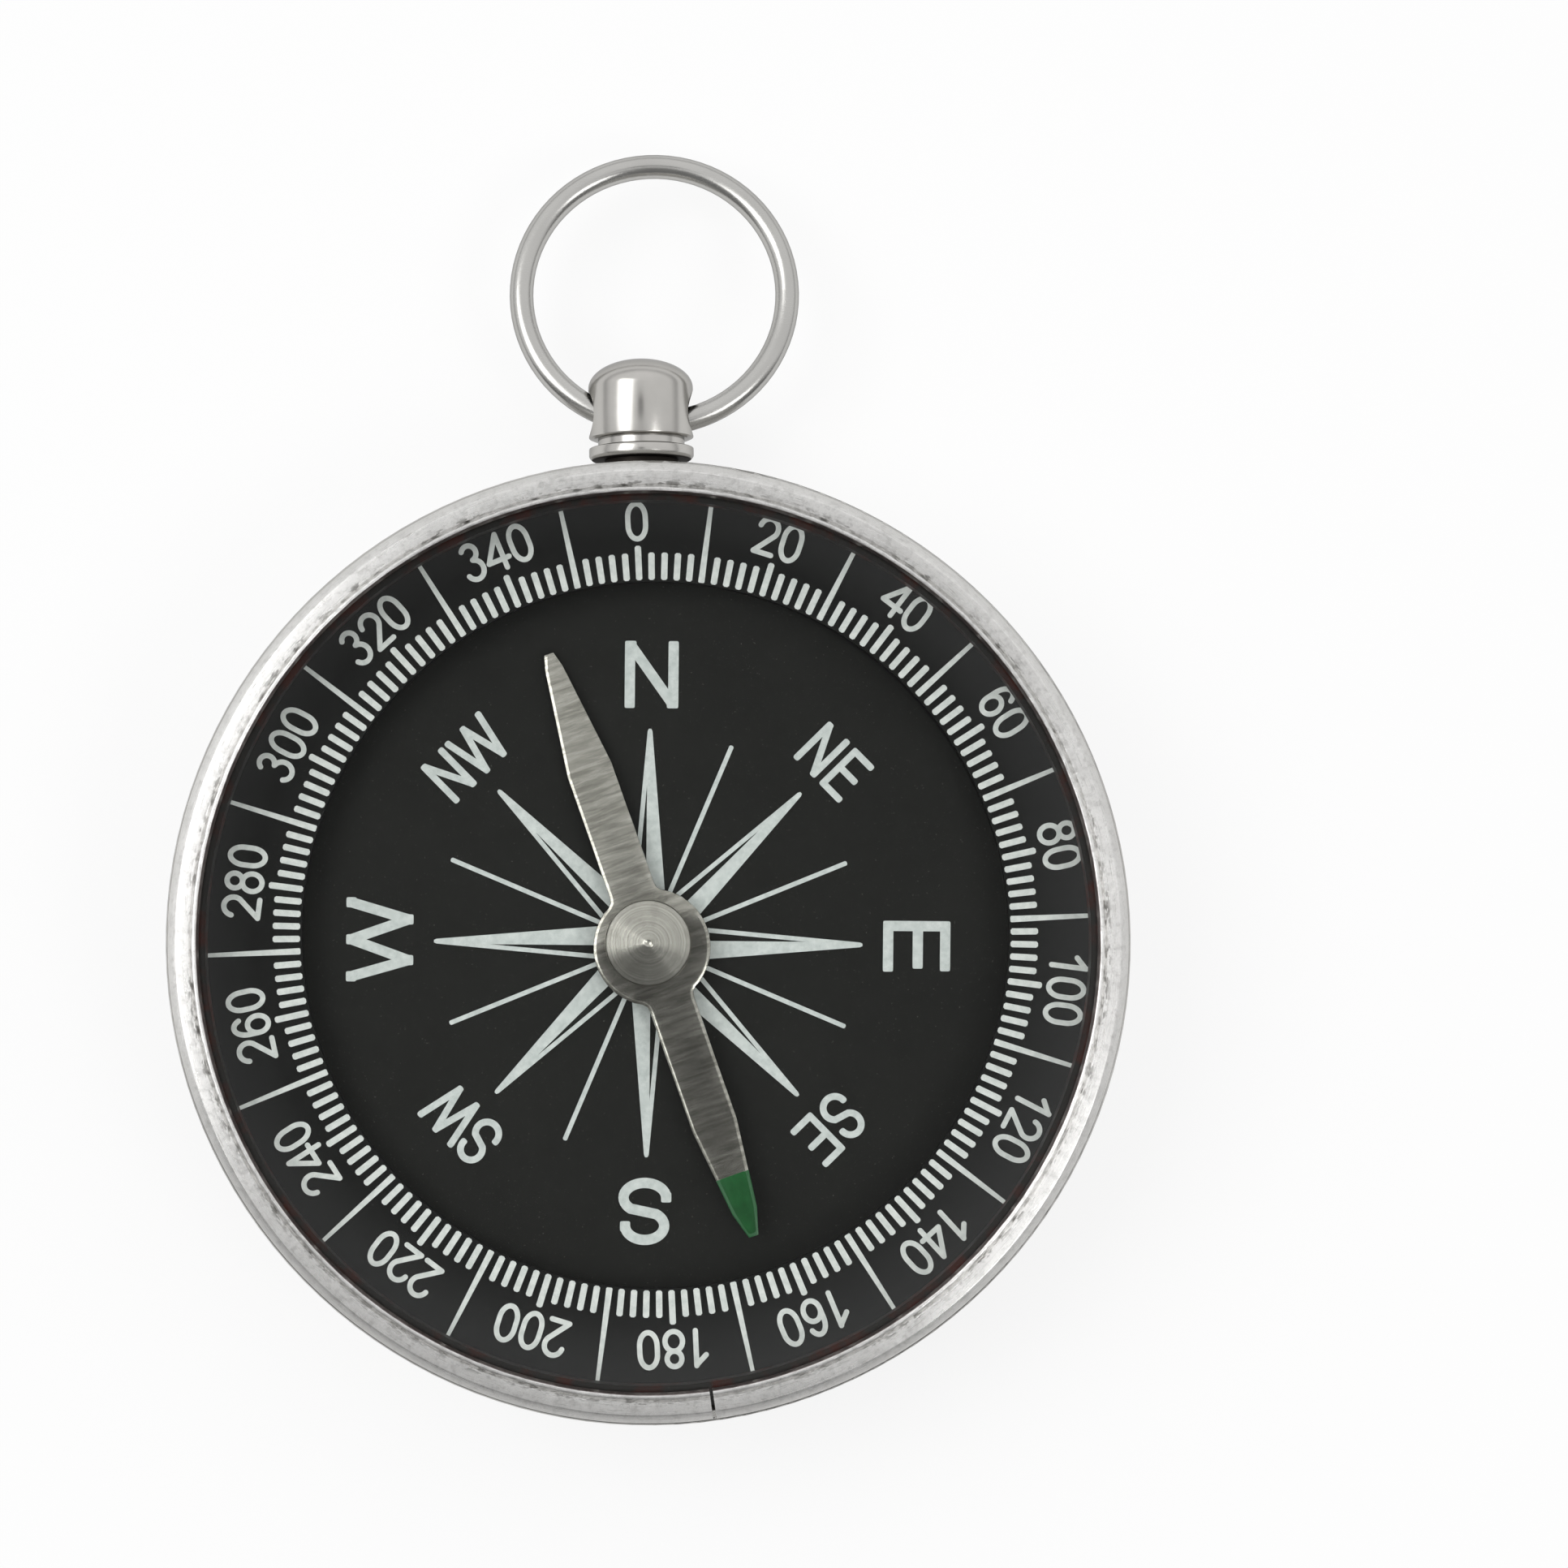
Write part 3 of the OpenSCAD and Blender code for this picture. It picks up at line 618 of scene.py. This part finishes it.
bezel = {"opening": 20.25, "spigot": 21.18, "flange": 21.58, "flangeFrom": 0.45, "flat": 20.61,
         "lipRise": 0.05, "dish": 0.018, "groove": (0.14, 0.08), "shoulder": (0.38, 0.36),
         "splitBearing": 172.8, "gap": 0.15, "steps": 719,
         "rounding": {4: (0.05, 2), 5: (0.04, 2), 9: (0.07, 3), 10: (0.09, 3)},
         "ragged": 0.022, "nicksPerMm": 1.7, "nicksUp": 6, "dentsPerMm": 4.2,
         "dentFrom": 0.25, "dentDepth": 2.5, "dentPlace": (9, 3), "lipBand": (0.04, 0.05),
         "wallBand": 0.01,
         "wall": (20.30, 20.27), "grooveOutside": (20.84, 20.66), "grooveInside": (20.4, 20.5)}


def bezelShape():
    # nicks and dents wear the lip and the groove, and the wall of the opening stays round
    lowest, highest = boxOf("bezel_ring")
    opening, flange, flat = bezel["opening"], bezel["flange"], bezel["flat"]
    grooveWide, grooveDeep = bezel["groove"]
    shoulderWide, shoulderHigh = bezel["shoulder"]
    flangeZ = lowest.z + bezel["flangeFrom"]
    top = highest.z - bezel["lipRise"]
    low = top - bezel["dish"]
    halfGap = math.degrees(bezel["gap"] / 2 / opening)
    bandHigh, bandWide = bezel["lipBand"]
    dentX, dentZ = bezel["dentPlace"]
    outline = [
        (opening, lowest.z), (bezel["spigot"], lowest.z), (bezel["spigot"], flangeZ),
        (flange, flangeZ), (flange, top - shoulderHigh), (flange - shoulderWide, top),
        (flat, low), (flat - grooveWide / 2, low - grooveDeep), (flat - grooveWide, low),
        (flat - grooveWide, highest.z), (opening, highest.z)]
    bm = turned(outline, bezel["steps"], bezel["rounding"],
                start=90 - bezel["splitBearing"] + halfGap, sweep=360 - 2 * halfGap)
    for vert in bm.verts:
        x, y, z = vert.co
        r = vert.co.xy.length
        if z > top - bandHigh and r < flat + bandWide:
            nick = noise.noise(Vector((x * bezel["nicksPerMm"], y * bezel["nicksPerMm"],
                                       z * bezel["nicksUp"])))
            dent = noise.noise(Vector((x * bezel["dentsPerMm"] + dentX, y * bezel["dentsPerMm"],
                                       dentZ)))
            dent = max(0.0, dent - bezel["dentFrom"])
            vert.co.z -= bezel["ragged"] * (abs(nick) + bezel["dentDepth"] * dent)
            if r > opening + bezel["wallBand"]:
                vert.co.xy = vert.co.xy * (1 + (nick * bezel["ragged"]) / r)
    return bm


def wornSheet():
    # pale sheet, a little blotchy, with scratches, pits by the groove and painted shade on the
    # rounded shoulder
    finish = Finish("satinBezel", metallic=1.0, anisotropic=0.9, anisotropicRotation=0.25)
    place = finish.moved()
    radius = finish.fromAxis(place)
    marks = finish.polarGrain(place, 0.035, 4.0)
    scratches = finish.spread(finish.polarGrain(place, 0.08, 1.2, 2), 0.62, 0.72)
    pits = finish.spread(finish.polarGrain(place, 0.15, 0.5, 2), 0.5, 0.6)
    speck = finish.spread(finish.grain(place, 2, 0.6, (0.11, 0.11, 0.11)), 0.45, 0.75)
    cloud = finish.spread(finish.grain(place, 3, 0.55, (0.9, 0.9, 0.9)), 0.3, 0.7)
    patchy = finish.spread(finish.grain(place, 2, 0.5, (2.4, 2.4, 2.4)), 0.36, 0.62, 0.25, 1.0)
    blotch = finish.spread(finish.grain(place, 3, 0.6, (0.34, 0.34, 0.34)), 0.5, 0.68)
    nearGroove = (finish.spread(radius, *bezel["grooveOutside"])
                  * finish.spread(radius, *bezel["grooveInside"]))
    pitted = pits * nearGroove
    wall = finish.spread(radius, *bezel["wall"])
    # painted shade: the rounded shoulder at the outer edge is coloured a darker grey, as light
    # falls off over its curve
    shoulder = finish.spread(radius, bezel["flange"] - bezel["shoulder"][0], bezel["flange"])
    sheet = finish.blend(cloud, screenColour(224, 223, 221), screenColour(238, 237, 235))
    speckled = finish.blend(speck * 0.3, sheet, screenColour(188, 187, 184))
    worn = finish.blend(scratches * 0.25 + pitted * patchy * 0.7 + blotch * 0.24,
                        speckled, screenColour(112, 110, 106))
    shoulderShade = finish.blend(shoulder * 0.7, worn, screenColour(206, 205, 202))
    finish.set(baseColor=finish.blend(wall * 0.8, shoulderShade, screenColour(72, 40, 36)),
               roughness=finish.spread(marks, 0.3, 0.7, 0.25, 0.36),
               normal=finish.bump(marks + scratches * -0.8 + pitted * -1.2, 0.004))
    return finish


finishPiece("bezelRing", bezelShape(), "compass", wornSheet(), 30,
            ("bezel_ring",))
print("bezel ring ready")


# stem: turned from bar, with a dome, a cross hole for the bow and a tapped hole for the screw

stem = {"neck": 1.7, "foot": 0.6, "slope": 0.16, "barrel": 2.42, "grooveDepth": 0.42,
        "grooveSlope": 0.1, "flange": 0.4, "groove": 0.4, "barrelFoot": (0.2, 0.08),
        "domeFrom": 25.639, "domeSteps": 24, "tapped": (0.82, 1.37), "height": 4.8,
        "holeY": 24.4545, "holeRadius": 1.0845, "drillLength": 6, "steps": 168,
        "paintedShade": (0.07, 0.02),
        "rounding": {5: (0.04, 2), 6: (0.06, 2), 7: (0.05, 2), 10: (0.04, 2), 11: (0.05, 2)}}

lowStem, highStem = boxOf("stem")
flangeY = lowStem.y + stem["foot"]


def stemShape():
    barrel, slope = stem["barrel"], stem["slope"]
    tappedRadius, tappedDepth = stem["tapped"]
    footWide, footHigh = stem["barrelFoot"]
    grooveY = flangeY + slope + stem["flange"]
    barrelY = grooveY + stem["groove"]
    inner = barrel - stem["grooveDepth"]
    dome = curve(0, stem["domeFrom"], barrel, highStem.y - stem["domeFrom"], 0, 90,
                 stem["domeSteps"])
    outline = [
        (0, lowStem.y + tappedDepth), (tappedRadius, lowStem.y + tappedDepth),
        (tappedRadius, lowStem.y), (stem["neck"], lowStem.y), (stem["neck"], flangeY),
        (barrel - slope, flangeY), (barrel, flangeY + slope), (barrel, grooveY),
        (inner, grooveY + stem["grooveSlope"]), (inner, barrelY), (barrel - footWide, barrelY),
        (barrel, barrelY + footHigh)] + dome[:-1] + [(0, highStem.y)]
    bm = turned(outline, stem["steps"], stem["rounding"])
    turnVerts(bm, bm.verts, -90, "X")
    bmesh.ops.translate(bm, vec=(0, 0, stem["height"]), verts=bm.verts)
    drill = bmesh.new()
    bmesh.ops.create_cone(drill, cap_ends=True, segments=72, radius1=stem["holeRadius"],
                          radius2=stem["holeRadius"], depth=stem["drillLength"])
    turnVerts(drill, drill.verts, 90, "Y")
    bmesh.ops.translate(drill, vec=(0, stem["holeY"], stem["height"]), verts=drill.verts)
    return drilled(bm, drill)


def stemChrome():
    # bright plating with a little haze, fine rings, and painted shade in the corner by the case
    finish = Finish("polishedStem", metallic=1.0, specularTint=(0.55, 0.55, 0.55))
    place = finish.moved((0, 0, stem["height"]))
    outward = finish.axes(place)[1]
    haze = finish.grain(finish.moved(), 3, 0.55, (1.2, 1.2, 1.2))
    rings = finish.grain(finish.join(outward, 0.0, 0.0), 2, 0.5, (0.06, 1, 1))
    # painted shade: the base colour turns near black, and rougher, where the neck meets the case,
    # as the shadow under the flange
    paintedShade = finish.spread(outward, *[flangeY + one for one in stem["paintedShade"]])
    plate = finish.blend(haze, screenColour(182, 180, 176), screenColour(196, 194, 190))
    finish.set(baseColor=finish.blend(paintedShade, plate, screenColour(52, 48, 45)),
               roughness=finish.spread(haze, 0.3, 0.7, 0.19, 0.25) + paintedShade * 0.3,
               normal=finish.bump(rings, 0.0004))
    return finish


finishPiece("stemTurned", stemShape(), "compass", stemChrome(), 25, ("stem",))
print("stem ready")


# needle: a stamped blade with rolled edges, its paint, and a turned cap

# lengths are counted from the disc's middle, and rims gives the strips that roll the edges
needle = {"turn": 18.6, "side": 0.1, "slide": -0.24, "disc": 2.68, "discSteps": 30, "arm": 2.14,
          "shoulder": 8.6, "plainTip": 14.26, "plainNose": (0.86, 0.7),
          "paintedTip": 13.98, "paintedNose": (1.2, 1.25), "tip": 0.46, "fillet": 0.2,
          "ease": (0.05, 0.07), "neckHole": 1.17, "cuts": 14, "paintedShade": (2.5, 2.0),
          "plainBend": 0.4, "plainDroop": 2.9, "paintedBend": 2.68, "paintedDroop": -1.0,
          "rims": ((0.02, 0.1), (0.05, 0.042), (0.06, 0.02), (0.03, 0.002))}
paint = {"length": 2.96, "edge": 0.16, "thick": 0.03, "sunk": 0.004, "tipInset": 0.06,
         "corner": 0.12, "rim": (0.05, 0.018), "fade": (0.06, 0.02)}
paintFrom = needle["paintedTip"] - paint["length"]

lowBlade, highBlade = boxOf("needle_blade")


def armSide(tip, nose):
    # right-hand side of an arm, from its root to its tip
    half = needle["arm"] / 2
    fillet = needle["fillet"]
    easeX, easeY = needle["ease"]
    root = math.sqrt(needle["disc"] ** 2 - half ** 2)
    foot = math.sqrt(needle["disc"] ** 2 - (half + fillet) ** 2)
    return [(half + fillet, foot), (half + easeX, root + easeY), (half, root + fillet * 1.5),
            (half, needle["shoulder"]), (nose[0] / 2, tip - nose[1]), (needle["tip"] / 2, tip)]


def lowerRim(bm, faces, width, drop):
    # a strip along the faces' outline slopes down to its outer edge
    strip = bmesh.ops.inset_region(bm, faces=faces, use_boundary=True, use_even_offset=True,
                                   thickness=width)["faces"]
    for vert in {v for f in strip for v in f.verts} - {v for f in faces for v in f.verts}:
        vert.co.z -= drop


def bendArms(bm):
    # one arm droops a little outwards and the other rises, so they are cut across first
    for step in range(-needle["cuts"], needle["cuts"] + 1):
        bmesh.ops.bisect_plane(bm, geom=list(bm.verts) + list(bm.edges) + list(bm.faces),
                               plane_co=(0, step, 0), plane_no=(0, 1, 0), dist=weld)
    for vert in bm.verts:
        arm = "plain" if vert.co.y > 0 else "painted"
        beyond = max(0.0, abs(vert.co.y) - needle[arm + "Bend"])
        slope = math.tan(math.radians(needle[arm + "Droop"]))
        vert.co.z -= slope * beyond * min(1.0, beyond)


def layNeedle(bm):
    # from the needle's own axes to its place over the card
    bmesh.ops.translate(bm, vec=(needle["side"], needle["slide"], 0), verts=bm.verts)
    turnVerts(bm, bm.verts, needle["turn"], "Z")


def facingUp(bm):
    return [f for f in bm.faces if f.normal.z > 0.9]


def bladeShape():
    plainSide = armSide(needle["plainTip"], needle["plainNose"])
    paintedSide = armSide(needle["paintedTip"], needle["paintedNose"])
    reach = math.degrees(math.atan2(plainSide[0][1], plainSide[0][0]))
    discSide = curve(0, 0, needle["disc"], needle["disc"], -reach, reach, needle["discSteps"])
    rightSide = [(x, -y) for x, y in reversed(paintedSide)] + discSide[1:-1] + plainSide
    outline = rightSide + [(-x, y) for x, y in reversed(rightSide)]
    bm = bmesh.new()
    corners = [bm.verts.new((x, y, highBlade.z)) for x, y in outline]
    edges = [bm.edges.new(pair) for pair in zip(corners, corners[1:] + corners[:1])]
    pivot = Matrix.Translation((-needle["side"], -needle["slide"], highBlade.z))
    hole = bmesh.ops.create_circle(bm, segments=40, radius=needle["neckHole"], matrix=pivot)
    edges += list({e for v in hole["verts"] for e in v.link_edges})
    bmesh.ops.triangle_fill(bm, use_beauty=True, edges=edges)
    bmesh.ops.recalc_face_normals(bm, faces=bm.faces)
    if sum(f.normal.z for f in bm.faces) < 0:
        bmesh.ops.reverse_faces(bm, faces=bm.faces)
    lower = bmesh.ops.extrude_face_region(bm, geom=list(bm.faces), use_keep_orig=True)
    bmesh.ops.translate(bm, vec=(0, 0, lowBlade.z - highBlade.z), verts=vertsOf(lower))
    bmesh.ops.recalc_face_normals(bm, faces=bm.faces)
    top = facingUp(bm)
    for width, drop in needle["rims"]:
        lowerRim(bm, top, width, drop)
    bendArms(bm)
    layNeedle(bm)
    return bm


def stampedSteel():
    # brushed across, streaked, with painted shade round the cap, and green under the paint
    finish = Finish("stampedBlade", metallic=1.0)
    place = finish.moved(turn=(0, 0, needle["turn"]))
    across = finish.grain(place, 4, 0.6, (2.6, 0.07, 1))
    streak = finish.spread(finish.grain(place, 3, 0.6, (1.8, 0.22, 1)), 0.35, 0.7)
    cloud = finish.grain(place, 3, 0.5, (1.6, 1.6, 1.6))
    clouded = finish.spread(cloud, 0.3, 0.7, 0.2, 0.9)
    # painted shade: a clouded dark ring on the blade round the cap's foot, standing in for the
    # cap's contact shadow
    paintedShade = finish.spread(finish.fromAxis(place), *needle["paintedShade"]) * clouded
    brushed = finish.blend(streak, screenColour(140, 137, 129), screenColour(184, 181, 173))
    worn = finish.blend(paintedShade * 0.4, brushed, screenColour(96, 92, 84))
    edge = needle["slide"] - paintFrom
    fades = [edge + one for one in paint["fade"]]
    painted = finish.spread(finish.axes(place)[1] + cloud * 0.1, *fades)
    finish.set(baseColor=finish.blend(painted, worn, screenColour(34, 92, 50)),
               metallic=1 - painted,
               roughness=finish.spread(cloud, 0.3, 0.7, 0.11, 0.15) + painted * 0.3,
               normal=finish.bump(across, 0.0006))
    return finish


def paintShape():
    # a thin film on the end of the painted arm, a little inside the arm's edges
    noseY = needle["paintedTip"] - needle["paintedNose"][1]
    narrowing = (needle["arm"] - needle["paintedNose"][0]) / (noseY - needle["shoulder"])
    wide = needle["arm"] - (paintFrom - needle["shoulder"]) * narrowing
    side = [(wide / 2 - paint["edge"], -paintFrom),
            (needle["paintedNose"][0] / 2 - paint["edge"], -noseY),
            (needle["tip"] / 2 - paint["tipInset"], paint["edge"] - needle["paintedTip"])]
    bm = bmesh.new()
    bm.faces.new([bm.verts.new((x, y, highBlade.z - paint["sunk"])) for x, y in
                  side + [(-x, y) for x, y in reversed(side)]])
    bmesh.ops.bevel(bm, geom=list(bm.verts), offset=paint["corner"], segments=3, profile=0.5,
                    affect="VERTICES", material=-1)
    raised = bmesh.ops.extrude_face_region(bm, geom=list(bm.faces), use_keep_orig=True)
    bmesh.ops.translate(bm, vec=(0, 0, paint["thick"]), verts=vertsOf(raised))
    bmesh.ops.recalc_face_normals(bm, faces=bm.faces)
    lowerRim(bm, facingUp(bm), *paint["rim"])
    bendArms(bm)
    layNeedle(bm)
    return bm


def greenPaint():
    # brushed on by hand, and dry
    finish = Finish("greenPaint", specularIorLevel=0.15)
    place = finish.moved(turn=(0, 0, needle["turn"]))
    flow = finish.grain(place, 3, 0.5, (0.5, 0.9, 0.5))
    grit = finish.grain(place, 2, 0.6, (0.07, 0.07, 0.07))
    finish.set(baseColor=finish.blend(finish.spread(flow, 0.3, 0.7), screenColour(18, 70, 32),
                                      screenColour(26, 88, 42)),
               roughness=finish.spread(grit, 0.3, 0.7, 0.35, 0.5),
               normal=finish.bump(flow, 0.01))
    return finish


cap = {"radius": 1.97, "rim": 0.2, "pit": (0.16, 0.1), "neck": 1.15, "collar": 1.5,
       "bore": 0.82, "steps": 120, "supports": (0.06, 0.94),
       "rounding": {1: (0.03, 2), 4: (0.07, 3), 9: (0.04, 2)}}


def capShape():
    lowest, highest = boxOf("needle_cap")
    jewelTop = boxOf("cap_jewel")[1].z
    pitRadius, pitDepth = cap["pit"]
    rimZ = highBlade.z + cap["rim"]
    # two points on the cone keep its shading straight
    cone = [(pitRadius + (cap["radius"] - pitRadius) * share,
             highest.z + (rimZ - highest.z) * share) for share in cap["supports"]]
    outline = [
        (0, highest.z - pitDepth), (pitRadius, highest.z), *cone, (cap["radius"], rimZ),
        (cap["radius"], highBlade.z), (cap["neck"], highBlade.z), (cap["neck"], lowBlade.z),
        (cap["collar"], lowBlade.z), (cap["collar"], lowest.z), (cap["bore"], lowest.z),
        (cap["bore"], jewelTop), (0, jewelTop)]
    return turned(outline, cap["steps"], cap["rounding"])


def turnedCap():
    # turned metal with the tool's rings
    finish = Finish("turnedCap", metallic=1.0)
    place = finish.moved()
    cuts = finish.grain(finish.join(finish.fromAxis(place), 0.0, 0.0), 3, 0.6, (0.09, 1, 1))
    fine = finish.polarGrain(place, 0.03, 3.0)
    cloud = finish.grain(place, 3, 0.5, (0.8, 0.8, 0.8))
    ringed = finish.blend(finish.spread(cuts, 0.3, 0.7), screenColour(160, 157, 149),
                          screenColour(196, 193, 185))
    tarnish = finish.spread(cloud, 0.5, 0.75) * 0.35
    finish.set(baseColor=finish.blend(tarnish, ringed, screenColour(120, 116, 106)),
               roughness=finish.spread(cloud, 0.3, 0.7, 0.17, 0.24),
               normal=finish.bump(cuts + fine * 0.2, 0.0014))
    return finish


finishPiece("needleBlade", bladeShape(), "needle", stampedSteel(), 40,
            ("needle_blade",))
finishPiece("needlePaint", paintShape(), "needle", greenPaint(), 40,
            ("needle_paint",))
finishPiece("needleCap", capShape(), "needle", turnedCap(), 35, ("needle_cap",))
print("needle ready")
